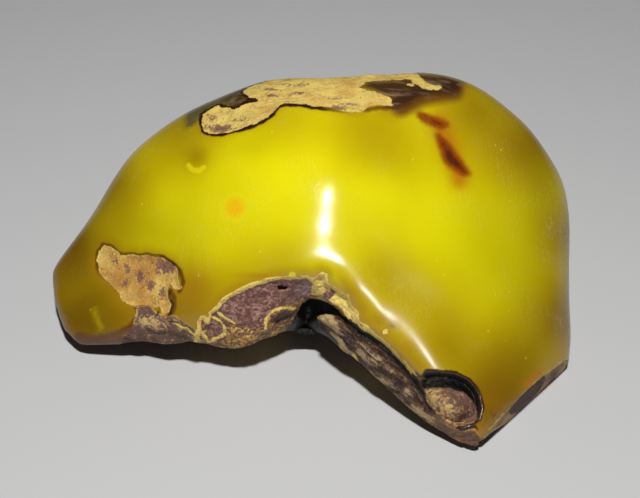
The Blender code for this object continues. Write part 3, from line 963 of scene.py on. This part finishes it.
def new_group(name, inputs, outputs):
    """Start a node group; inputs and outputs are names with their socket kinds."""
    tree = bpy.data.node_groups.new(name, "ShaderNodeTree")
    for label, kind in inputs:
        tree.interface.new_socket(label, in_out="INPUT", socket_type=kind)
    for label, kind in outputs:
        tree.interface.new_socket(label, in_out="OUTPUT", socket_type=kind)
    return tree, Nodes(tree), tree.nodes.new("NodeGroupInput"), tree.nodes.new("NodeGroupOutput")


def ragged_border_group():
    """Group that turns a signed distance into a mask with a crumbling border."""
    tree, nodes, given, result = new_group(
        "ragged_border",
        (("Distance", "NodeSocketFloat"), ("Position", "NodeSocketVector"),
         ("Crumble", "NodeSocketFloat"), ("Softness", "NodeSocketFloat")),
        (("Mask", "NodeSocketFloat"),))
    coarse = nodes.noise(given.outputs["Position"], 700.0, 4.0, 0.65)
    shift = nodes.times(nodes.minus(coarse, 0.5), given.outputs["Crumble"])
    moved = nodes.plus(given.outputs["Distance"], shift)
    low = nodes.times(given.outputs["Softness"], -1.0)
    nodes.put(result.inputs["Mask"], nodes.ramp(moved, low, given.outputs["Softness"]))
    return tree


def rind_grain_group():
    """Group of the weathered rind's grain: its height, a broad tone, gritty cells and pores."""
    tree, nodes, given, result = new_group(
        "rind_grain",
        (("Position", "NodeSocketVector"),),
        (("Height", "NodeSocketFloat"), ("Tone", "NodeSocketFloat"), ("Grit", "NodeSocketFloat"),
         ("Pores", "NodeSocketFloat")))
    place = given.outputs["Position"]
    crumbs = nodes.add("ShaderNodeTexVoronoi", Vector=place, Scale=2500.0)
    broad = nodes.noise(place, 520.0, 6.0, 0.68)
    fine = nodes.noise(place, 3000.0, 3.0, 0.65)
    pores = nodes.ramp(nodes.noise(place, 1500.0, 3.0, 0.6), 0.64, 0.72)
    height = nodes.minus(nodes.times(broad, 1.3),
                        nodes.times(crumbs.outputs["Distance"], 0.5))
    height = nodes.plus(height, nodes.times(fine, 0.5))
    nodes.put(result.inputs["Height"], nodes.minus(height, nodes.times(pores, 0.6)))
    tone = nodes.plus(nodes.times(broad, 1.5), nodes.times(fine, 0.9))
    nodes.put(result.inputs["Tone"], nodes.minus(tone, 1.2))
    cell = nodes.add("ShaderNodeSeparateColor", Color=crumbs.outputs["Color"]).outputs[0]
    grit = nodes.plus(nodes.times(cell, 0.7), nodes.times(fine, 0.6))
    nodes.put(result.inputs["Grit"], grit)
    nodes.put(result.inputs["Pores"], pores)
    return tree


def hairline_group():
    """Group of fine polishing hairlines: thin level sets of noises drawn out in two directions."""
    tree, nodes, given, result = new_group(
        "hairlines",
        (("Position", "NodeSocketVector"),),
        (("Lines", "NodeSocketFloat"),))
    lines = []
    place = given.outputs["Position"]
    for turn, stretch in (WORN_SCRATCHES, FINE_SCRATCHES):
        mapped = nodes.add("ShaderNodeMapping", {"vector_type": "TEXTURE"}, Vector=place,
                           Rotation=turn, Scale=stretch)
        drawn = nodes.noise(mapped.outputs["Vector"], 1.0, 2.0, 0.5)
        level = nodes.math("ABSOLUTE", nodes.minus(drawn, 0.5))
        lines.append(nodes.ramp(level, 0.0, 0.012, 1.0, 0.0))
    patch = nodes.ramp(nodes.noise(place, 120.0, 2.0), 0.45, 0.65)
    nodes.put(result.inputs["Lines"], nodes.times(nodes.math("MAXIMUM", *lines), patch))
    return tree


def place_group(nodes, tree, **inputs):
    """Put a group into a material's tree."""
    node = nodes.add("ShaderNodeGroup", {"node_tree": tree})
    for name, value in inputs.items():
        nodes.put(node.inputs[name], value)
    return node


def new_material(name):
    """Return a material, its node helper and its shader."""
    material = bpy.data.materials.new(name)
    material.use_nodes = True
    nodes = Nodes(material.node_tree)
    return material, nodes, material.node_tree.nodes["Principled BSDF"]


def amber_colour(nodes, looks, place):
    """Colour of the polished amber: milky yellow, deeper honey toward its thin and far ends, partly its
    own colour and partly painted shade.
    """
    deep = nodes.field("deep")
    clouds = nodes.noise(place, 90.0, 3.0, 0.5)
    deep = nodes.plus(deep, nodes.times(nodes.minus(clouds, 0.5), 0.2), clamp=True)
    # The deep field is partly painted shade toward the edges and painted light over the crown
    colour = nodes.mix(nodes.ramp(deep, -0.1, 0.55), looks.milky, looks.olive)
    colour = nodes.mix(nodes.ramp(deep, 0.4, 1.0), colour, looks.brown)
    honey = nodes.field("honey")
    colour = nodes.mix(nodes.times(honey, 0.85), colour, looks.honey)
    specks = nodes.add("ShaderNodeTexVoronoi", Vector=place, Scale=330.0).outputs["Distance"]
    colour = nodes.mix(nodes.ramp(specks, 0.03, 0.07, 0.5, 0.0), colour, looks.fleck)
    colour = nodes.mix(nodes.field("clouds"), colour, looks.lemon)
    yolk = nodes.field("yolk")
    colour = nodes.mix(nodes.ramp(yolk, -0.5, 0.5, 0.0, 0.8), colour, looks.lemon)
    colour = nodes.mix(nodes.ramp(yolk, 0.0, 1.5), colour, looks.yolk)
    # Painted shade: the amber darkened toward black where its surface turns from the light
    colour = nodes.mix(nodes.field("painted_shade"), colour, (0.0, 0.0, 0.0, 1.0))
    colour = nodes.mix(nodes.times(nodes.field("smear"), 0.6), colour, looks.plum)
    return nodes.mix(nodes.ramp(nodes.field("lemon"), -0.12, 0.1, 0.0, 0.8), colour, looks.lemon)


def flaw_colour(nodes, looks, place, colour):
    """Lay the red-brown flaw, the scorched skin and the painted shade at the rind's steps over the
    amber's colour.
    """
    wobble = nodes.times(nodes.minus(nodes.noise(place, 600.0), 0.5), 0.7)
    stain = nodes.plus(nodes.field("stain"), wobble)
    colour = nodes.mix(nodes.times(nodes.field("ember"), 0.85), colour, looks.ember)
    colour = nodes.mix(nodes.ramp(stain, -0.8, 0.2, 0.0, 0.92), colour, looks.flaw)
    colour = nodes.mix(nodes.ramp(stain, 0.12, 0.6, 0.0, 0.8), colour, looks.flaw_dark_and_shade)
    rust = nodes.plus(nodes.field("rust"), nodes.times(wobble, 0.5), clamp=True)
    rust = nodes.times(rust, nodes.ramp(nodes.field("rust"), 0.02, 0.2))
    colour = nodes.mix(nodes.times(rust, 0.88), colour, looks.rust)
    streaks = nodes.add("ShaderNodeMapping", Vector=place, Scale=(150.0, 900.0, 1400.0))
    tone = nodes.noise(streaks.outputs["Vector"], 1.0, 3.0)
    scorched = nodes.mix(nodes.ramp(tone, 0.45, 0.75), looks.scorch, looks.scorch_pale)
    scorched = nodes.mix(nodes.field("moss"), scorched, looks.moss)
    colour = nodes.mix(nodes.times(nodes.field("scorch"), 0.97), colour, scorched)
    # Painted shade: a dark line on the amber where it steps down into the rind's bed and the pit
    near_rind = nodes.ramp(nodes.plus(nodes.field("rind"), wobble), -0.55, -0.25)
    return nodes.mix(nodes.times(near_rind, nodes.field("step_shade")), colour, looks.flaw_dark_and_shade)


def rind_colour(nodes, looks, place, grain, border):
    """Colour of the rind: cream when young, then ochre, brown and near black, tinted plum."""
    tone = grain.outputs["Tone"]
    age = nodes.plus(nodes.field("age"), nodes.times(tone, 0.35), clamp=True)
    flow = nodes.add("ShaderNodeMapping", {"vector_type": "TEXTURE"}, Vector=place,
                     Rotation=LEDGE_FLOW[0], Scale=LEDGE_FLOW[1])
    flow = nodes.minus(nodes.noise(flow.outputs["Vector"], 1.0, 3.0, 0.6), 0.5)
    flow = nodes.times(flow, nodes.field("flow"))
    age = nodes.plus(age, nodes.times(flow, 1.6), clamp=True)
    gritty = nodes.times(nodes.minus(grain.outputs["Grit"], 0.6), nodes.field("grit"))
    age = nodes.plus(age, nodes.times(gritty, 0.9), clamp=True)
    colour = nodes.mix(nodes.ramp(age, 0.05, 0.4), looks.cream, looks.ochre)
    colour = nodes.mix(nodes.times(nodes.field("silt"), 0.75), colour, looks.silt)
    colour = nodes.mix(nodes.ramp(age, 0.35, 0.7), colour, looks.bark)
    colour = nodes.mix(nodes.ramp(age, 0.75, 1.0), colour, looks.flaw_dark_and_shade)
    creases = nodes.add("ShaderNodeMapping", Vector=place, Scale=(170.0, 420.0, 420.0))
    creases = nodes.noise(creases.outputs["Vector"], 1.0, 4.0, 0.6)
    creases = nodes.ramp(nodes.math("ABSOLUTE", nodes.minus(creases, 0.5)), 0.0, 0.05, 0.25, 0.0)
    colour = nodes.mix(creases, colour, looks.bark)
    plum = nodes.plus(nodes.field("plum"), nodes.times(tone, 0.6))
    grit = nodes.times(nodes.minus(grain.outputs["Grit"], 0.6), 0.5)
    plum = nodes.plus(plum, grit, clamp=True)
    colour = nodes.mix(nodes.times(nodes.ramp(plum, 0.3, 0.6), 0.85), colour, looks.plum)
    colour = nodes.mix(nodes.ramp(plum, 0.6, 1.0, 0.0, 0.6), colour, looks.plum_dark)
    on_bark = place_group(nodes, border, Distance=nodes.field("bark"), Position=place,
                          Crumble=0.5, Softness=0.08).outputs["Mask"]
    ripple = nodes.math("SINE", nodes.times(nodes.field("bark"), 14.0))
    ripple = nodes.times(ripple, nodes.field("ridges"))
    bark = nodes.mix(nodes.ramp(nodes.plus(tone, grain.outputs["Grit"]), 0.3, 1.3),
                     looks.plum_dark, looks.plum_pale)
    bark = nodes.mix(nodes.times(nodes.field("ridges"), 0.45), bark, looks.lavender)
    bark = nodes.mix(nodes.ramp(ripple, 0.0, 0.8, 0.0, 0.8), bark, looks.lavender)
    colour = nodes.mix(on_bark, colour, bark)
    on_bright = place_group(nodes, border, Distance=nodes.field("bright"), Position=place,
                            Crumble=0.8, Softness=0.08).outputs["Mask"]
    bright = nodes.mix(nodes.ramp(grain.outputs["Grit"], 0.7, 1.25), looks.crumb_and_glint, looks.ochre)
    colour = nodes.mix(nodes.times(on_bright, 0.9), colour, bright)
    return nodes.mix(nodes.times(grain.outputs["Pores"], 0.5), colour, looks.flaw_dark_and_shade)


def amber_material(looks):
    """Material of the whole lump: polished amber, its flaws, the rind, and the painted shade of its
    clefts and of its edges.
    """
    material, nodes, shader = new_material("butterscotch_amber")
    place = nodes.add("ShaderNodeTexCoord").outputs["Object"]
    border = ragged_border_group()
    grain = place_group(nodes, rind_grain_group(), Position=place)
    hairlines = place_group(nodes, hairline_group(), Position=place).outputs["Lines"]
    on_rind = place_group(nodes, border, Distance=nodes.field("rind"), Position=place,
                          Crumble=0.8, Softness=0.06).outputs["Mask"]
    on_gap_shade = place_group(nodes, border, Distance=nodes.field("pitch"), Position=place,
                           Crumble=0.5, Softness=0.12).outputs["Mask"]

    colour = flaw_colour(nodes, looks, place, amber_colour(nodes, looks, place))
    scratches = nodes.times(hairlines, nodes.ramp(nodes.field("worn"), 0.0, 1.0, 0.12, 0.95))
    colour = nodes.mix(scratches, colour, looks.dust)
    colour = nodes.mix(on_rind, colour, rind_colour(nodes, looks, place, grain, border))
    # Painted shade: near black over the gaps of the notch, the cleft, the pit and the crevices
    colour = nodes.mix(on_gap_shade, colour, looks.pitch)
    nodes.put(shader.inputs["Base Color"], colour)

    smudges = nodes.noise(place, 60.0, 3.0)
    polish = nodes.plus(looks.polish, nodes.times(smudges, 0.08))
    polish = nodes.plus(polish, nodes.times(hairlines, 0.12))
    polish = nodes.plus(polish, nodes.times(nodes.field("haze"), 0.07))
    rough = nodes.plus(nodes.times(on_rind, nodes.minus(0.82, polish)), polish)
    rough = nodes.plus(nodes.times(on_gap_shade, nodes.minus(0.5, rough)), rough)
    nodes.put(shader.inputs["Roughness"], rough)

    shader.inputs["Subsurface Weight"].default_value = looks.milkiness
    shader.inputs["Subsurface Radius"].default_value = GLOW_RADII
    shader.inputs["Subsurface Scale"].default_value = looks.glow_depth
    shader.inputs["IOR"].default_value = AMBER_IOR
    shader.inputs["Metallic"].default_value = 0.0

    skin = nodes.minus(nodes.times(nodes.noise(place, 260.0, 3.0), 0.35),
                      nodes.times(hairlines, 0.05))
    crumbly = nodes.times(grain.outputs["Height"], 4.0)
    height = nodes.plus(skin, nodes.times(nodes.minus(crumbly, skin), on_rind))
    bump = nodes.add("ShaderNodeBump", Strength=BUMP_STRENGTH, Distance=BUMP_DISTANCE, Height=height)
    nodes.put(shader.inputs["Normal"], bump.outputs["Normal"])
    return material


def floor_material(stage):
    """Plain pale floor."""
    material, nodes, shader = new_material("pale_floor")
    place = nodes.add("ShaderNodeTexCoord").outputs["Object"]
    tone = nodes.noise(place, 6.0, 2.0)
    worn = nodes.mix(nodes.times(tone, 0.06), stage.floor, (0.6, 0.6, 0.6, 1.0))
    nodes.put(shader.inputs["Base Color"], worn)
    shader.inputs["Roughness"].default_value = 0.6
    return material


def colour_property(name, text, value):
    """Colour setting with its description and default."""
    return bpy.props.FloatVectorProperty(
        name=name, description=text, subtype="COLOR", size=4, min=0.0, max=1.0, default=(*value, 1.0))


def number_property(name, text, value, least=0.0, most=100.0):
    """Plain number with its description, default and limits."""
    return bpy.props.FloatProperty(name=name, description=text, default=value, min=least, max=most)


def length_property(name, text, value):
    """Length in metres with its description and default."""
    return bpy.props.FloatProperty(
        name=name, description=text, default=value, min=0.0, subtype="DISTANCE", unit="LENGTH")


class AmberShape(bpy.types.PropertyGroup):
    """Sizes of the lump's fine surface."""

    steps: bpy.props.IntProperty(
        name="Steps", description="Quads along each edge of the net's cube",
        default=128, min=16, max=128)
    rind_bed: number_property(
        "Rind bed", "Depth of the rind's beds on the far side, in millimetres", 0.35, 0.0, 2.0)
    seat_round: number_property(
        "Seat round", "Rounding of the worn seat's edge, in millimetres", 0.5, 0.05, 3.0)


class AmberLooks(bpy.types.PropertyGroup):
    """Colours and finish of the amber and its rind."""

    # Milky, olive and brown amber follow the deep field: partly the amber's own colour, partly painted
    # shade toward its edges and painted light over its crown
    milky: colour_property("Milky amber", "Polished amber over the crown", (0.88, 0.80, 0.003))
    olive: colour_property("Olive amber", "Amber where its colour deepens", (0.50, 0.37, 0.002))
    brown: colour_property("Brown amber", "Amber at the thin ends", (0.24, 0.13, 0.002))
    honey: colour_property("Honey amber", "Amber next to the rind", (0.40, 0.19, 0.006))
    yolk: colour_property("Yolk amber", "The round orange spot", (0.88, 0.52, 0.004))
    fleck: colour_property("Fleck", "Small pale clouds in the amber", (0.85, 0.72, 0.10))
    lemon: colour_property("Lemon amber", "Small bright drops and streaks", (0.82, 0.70, 0.006))
    ember: colour_property("Ember", "Orange glow round the flaw", (0.48, 0.15, 0.003))
    flaw: colour_property("Flaw", "Dark red flaw", (0.25, 0.033, 0.002))
    # Near black of the flaw's core, old rind and pores, also used as painted shade at the rind's steps
    # and in the gaps
    flaw_dark_and_shade: colour_property("Dark lip", "Dark resin along the rind", (0.035, 0.010, 0.004))
    rust: colour_property("Rust", "Dark red bands beside the rind", (0.12, 0.035, 0.006))
    scorch: colour_property("Scorched skin", "Dark polished skin beside the rind", (0.045, 0.018, 0.009))
    scorch_pale: colour_property("Worn skin", "Paler streaks in the dark skin", (0.24, 0.15, 0.085))
    cream: colour_property("Cream rind", "Young rind", (0.79, 0.58, 0.15))
    # Crumbs: also the colour of the painted glint on the pit's rim
    crumb_and_glint: colour_property("Crumbs", "Bright crumbs along the rims", (1.0, 0.76, 0.2))
    silt: colour_property("Silt", "Grey brown filling of the ledge", (0.42, 0.31, 0.19))
    moss: colour_property("Mossy skin", "Grey green skin left of the top rind", (0.11, 0.095, 0.03))
    ochre: colour_property("Ochre rind", "Older rind", (0.56, 0.28, 0.06))
    bark: colour_property("Bark rind", "Old rind", (0.13, 0.075, 0.045))
    plum_dark: colour_property("Dark plum", "Dark grains of the broken face", (0.15, 0.062, 0.046))
    plum_pale: colour_property("Pale plum", "Pale grains of the broken face", (0.46, 0.25, 0.20))
    lavender: colour_property("Lavender", "Ridges of the broken face", (0.42, 0.30, 0.33))
    plum: colour_property("Plum rind", "Purple brown tint of the broken face", (0.22, 0.105, 0.085))
    dust: colour_property("Dust", "Pale crumbs on the rind", (0.62, 0.48, 0.28))
    # Near black painted shade in the notch, the cleft, the pit and the crevices
    pitch: colour_property("Pitch", "Near black resin in the clefts", (0.006, 0.004, 0.003))
    polish: number_property("Polish", "Roughness of the polished amber", 0.18, 0.0, 1.0)
    milkiness: number_property("Milkiness", "Share of light scattered inside", 0.12, 0.0, 1.0)
    glow_depth: length_property("Glow depth", "How far light wanders inside", 0.001)


class AmberStage(bpy.types.PropertyGroup):
    """Floor, light and camera."""

    floor: colour_property("Floor", "Colour of the plain floor", (0.60, 0.60, 0.60))
    floor_size: length_property("Floor size", "Side of the floor", 3.0)
    key_power: number_property("Key power", "Power of the high key light in watts", 1.22)
    key_size: length_property("Key size", "Side of the key light", 0.022)
    key_distance: length_property("Key distance", "How far off the key light hangs", 0.34)
    key_raise: bpy.props.FloatProperty(
        name="Key raise", description="How steeply the key light shines down",
        default=math.radians(68.0), subtype="ANGLE", unit="ROTATION")
    flash_power: number_property("Flash power", "Power of the light at the camera in watts", 0.2)
    flash_size: length_property("Flash size", "Side of the light at the camera", 0.012)
    flash_lift: length_property("Flash lift", "How far that light hangs over the camera", 0.0)
    fill: number_property("Fill", "Strength of the even fill light", 0.018)


class AMBER_OT_build_lump(bpy.types.Operator):
    """Build the lump of amber with its rind, in place of its plain solid"""

    bl_idname = "amber.build_lump"
    bl_label = "Build the lump"
    bl_options = {"REGISTER", "UNDO"}

    def execute(self, context):
        """Draw the fine surface, keep its fields and give it its material."""
        shape = context.scene.amber_shape
        points, quads, fields = own_surface(shape.steps, shape.rind_bed, shape.seat_round)
        piece = new_mesh_object("amber_lump", to_row(points, points), quads)
        store_fields(piece.data, fields)
        piece.data.materials.append(amber_material(context.scene.amber_looks))
        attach(piece, "root")
        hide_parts("amber_piece")
        return {"FINISHED"}


def aim(thing, target):
    """Turn a camera or light toward a point."""
    thing.rotation_euler = (Vector(target) - thing.location).to_track_quat("-Z", "Y").to_euler()


class AMBER_OT_build_stage(bpy.types.Operator):
    """Lay the floor, hang the light and set up the camera"""

    bl_idname = "amber.build_stage"
    bl_label = "Build the stage"
    bl_options = {"REGISTER", "UNDO"}

    def execute(self, context):
        """Make the floor, the key light, the fill and the camera."""
        stage = context.scene.amber_stage
        self.add_floor(context, stage)
        shape = context.scene.amber_shape
        surface, _, _ = own_surface(shape.steps // 2, shape.rind_bed, shape.seat_round)
        eye, _, up, _ = eye_frame()
        place, target = to_row(np.array([eye, EYE_TARGET]), surface)
        self.add_camera(context, place, target)
        lean = (0.0, -math.cos(stage.key_raise), math.sin(stage.key_raise))
        key = self.add_light(context, "key", target + np.array(lean) * stage.key_distance, target)
        key.data.energy = stage.key_power
        key.data.size = stage.key_size
        key.visible_glossy = False
        flash = self.add_light(context, "flash", place + up * stage.flash_lift, target)
        flash.data.energy = stage.flash_power
        flash.data.size = stage.flash_size
        flash.visible_diffuse = False
        world = bpy.data.worlds.new("soft_fill")
        world.use_nodes = True
        background = world.node_tree.nodes["Background"]
        background.inputs["Color"].default_value = (1.0, 1.0, 1.0, 1.0)
        background.inputs["Strength"].default_value = stage.fill
        context.scene.world = world
        context.scene.view_settings.view_transform = "Standard"
        return {"FINISHED"}

    def add_floor(self, context, stage):
        """Lay a square floor under the lump."""
        half = stage.floor_size / 2.0
        corners = np.array([(-half, -half, 0), (half, -half, 0), (half, half, 0), (-half, half, 0)])
        floor = new_mesh_object("floor", corners - (0, 0, FLOOR_GAP), np.array([[0, 1, 2, 3]]))
        floor.data.materials.append(floor_material(stage))

    def add_camera(self, context, place, target):
        """Put the camera where the photograph was taken from, at its angle of view."""
        data = bpy.data.cameras.new("photo_view")
        half_width = PHOTO_WIDTH * MM_PER_PIXEL / 2.0
        data.sensor_width = SENSOR_WIDTH
        data.lens = data.sensor_width / 2.0 * EYE_DISTANCE / half_width
        data.clip_start = 0.01
        camera = bpy.data.objects.new("photo_view", data)
        camera.location = place
        aim(camera, target)
        context.scene.collection.objects.link(camera)
        context.scene.camera = camera

    def add_light(self, context, name, place, target):
        """Hang a square light at a place and aim it."""
        light = bpy.data.objects.new(name, bpy.data.lights.new(name, "AREA"))
        light.location = place
        aim(light, target)
        context.scene.collection.objects.link(light)
        return light


class AMBER_PT_panel(bpy.types.Panel):
    """Sidebar panel with the lump's settings and steps"""

    bl_idname = "AMBER_PT_panel"
    bl_label = "Raw amber piece"
    bl_space_type = "VIEW_3D"
    bl_region_type = "UI"
    bl_category = "Amber"

    def draw(self, context):
        """List every setting, then the steps."""
        for group in (context.scene.amber_shape, context.scene.amber_looks, context.scene.amber_stage):
            box = self.layout.box()
            for name in group.__annotations__:
                box.prop(group, name)
        self.layout.operator(AMBER_OT_build_lump.bl_idname)
        self.layout.operator(AMBER_OT_build_stage.bl_idname)


CLASSES = (
    AmberShape, AmberLooks, AmberStage, AMBER_OT_build_lump, AMBER_OT_build_stage, AMBER_PT_panel,
)


def register():
    """Register the classes and hang the settings on the scene."""
    for item in CLASSES:
        bpy.utils.register_class(item)
    bpy.types.Scene.amber_shape = bpy.props.PointerProperty(type=AmberShape)
    bpy.types.Scene.amber_looks = bpy.props.PointerProperty(type=AmberLooks)
    bpy.types.Scene.amber_stage = bpy.props.PointerProperty(type=AmberStage)


def unregister():
    """Take the settings and the classes away again."""
    del bpy.types.Scene.amber_shape
    del bpy.types.Scene.amber_looks
    del bpy.types.Scene.amber_stage
    for item in reversed(CLASSES):
        bpy.utils.unregister_class(item)


def main():
    register()
    bpy.ops.amber.build_lump()
    bpy.ops.amber.build_stage()


if __name__ == "__main__":
    main()
